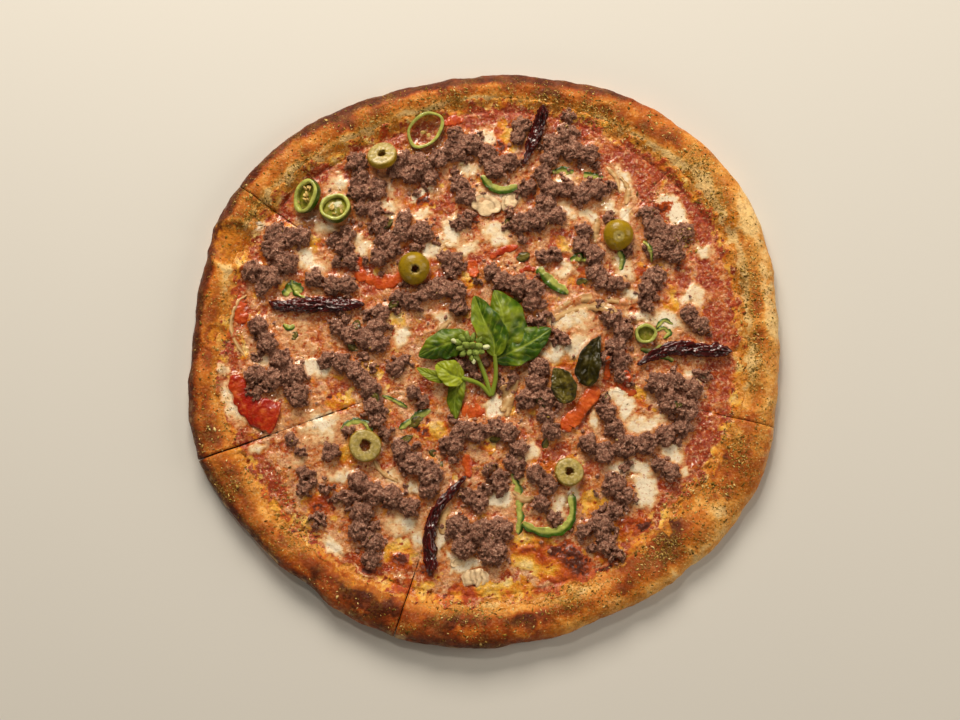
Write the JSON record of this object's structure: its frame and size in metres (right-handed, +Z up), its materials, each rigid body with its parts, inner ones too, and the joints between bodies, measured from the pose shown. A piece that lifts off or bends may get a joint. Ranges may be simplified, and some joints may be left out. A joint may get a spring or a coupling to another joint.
{
  "type": "pizza",
  "caption": "Round baked pizza cut into wedges that lie together, with a raised rim, melted cheese, crumbled beef, olives, chillies and a basil sprig.",
  "frame": {"origin": "on the table, under the middle of the pizza's bounding box", "axes": "+Z up from the flat underside, +Y towards the rim by the upright dried chilli, +X towards the broad pale rim"},
  "size_m": [0.3044, 0.2958, 0.02],
  "materials": {
    "crust": "baked bread, golden to brown, with dried herbs",
    "cheese": "melted cheese over tomato sauce, oily",
    "beef": "cooked minced beef, rough and grainy",
    "olive": "pickled green olive, moist",
    "dried_chilli": "dried red chilli, wrinkled and shiny",
    "green_chilli": "fresh green chilli and pepper, moist",
    "red_pepper": "roasted red pepper, moist",
    "onion": "cooked onion, translucent",
    "mushroom": "cooked mushroom, smooth",
    "basil": "fresh basil leaf, satin, with veins",
    "wilted_basil": "basil leaf wilted in the oven, satin"
  },
  "bodies": {
    "root": {"dough_slice_1": "crust", "dough_slice_2": "crust", "dough_slice_3": "crust", "dough_slice_4": "crust", "dough_slice_5": "crust", "cheese_slice_1": "cheese", "cheese_slice_2": "cheese", "cheese_slice_3": "cheese", "cheese_slice_4": "cheese", "cheese_slice_5": "cheese", "beef_1": "beef", "beef_2": "beef", "beef_3": "beef", "beef_4": "beef", "beef_5": "beef", "beef_6": "beef", "beef_7": "beef", "beef_8": "beef", "beef_9": "beef", "beef_10": "beef", "beef_11": "beef", "beef_12": "beef", "beef_13": "beef", "beef_14": "beef", "beef_15": "beef", "beef_16": "beef", "beef_17": "beef", "beef_18": "beef", "beef_19": "beef", "beef_20": "beef", "beef_21": "beef", "beef_22": "beef", "beef_23": "beef", "beef_24": "beef", "beef_25": "beef", "beef_26": "beef", "beef_27": "beef", "green_strip_1": "green_chilli", "green_strip_2": "green_chilli", "green_strip_3": "green_chilli", "red_pepper_1": "red_pepper", "red_pepper_2": "red_pepper", "onion": "onion", "mushroom": "mushroom", "chilli_ring_1": "green_chilli", "chilli_ring_2": "green_chilli", "chilli_ring_3": "green_chilli", "chilli_ring_4": "green_chilli", "olive_1": "olive", "olive_2": "olive", "olive_3": "olive", "olive_4": "olive", "olive_5": "olive", "dried_chilli_1": "dried_chilli", "dried_chilli_2": "dried_chilli", "dried_chilli_3": "dried_chilli", "dried_chilli_4": "dried_chilli", "wilted_basil_1": "wilted_basil", "wilted_basil_2": "wilted_basil", "basil_sprig": "basil"}
  },
  "joints": []
}
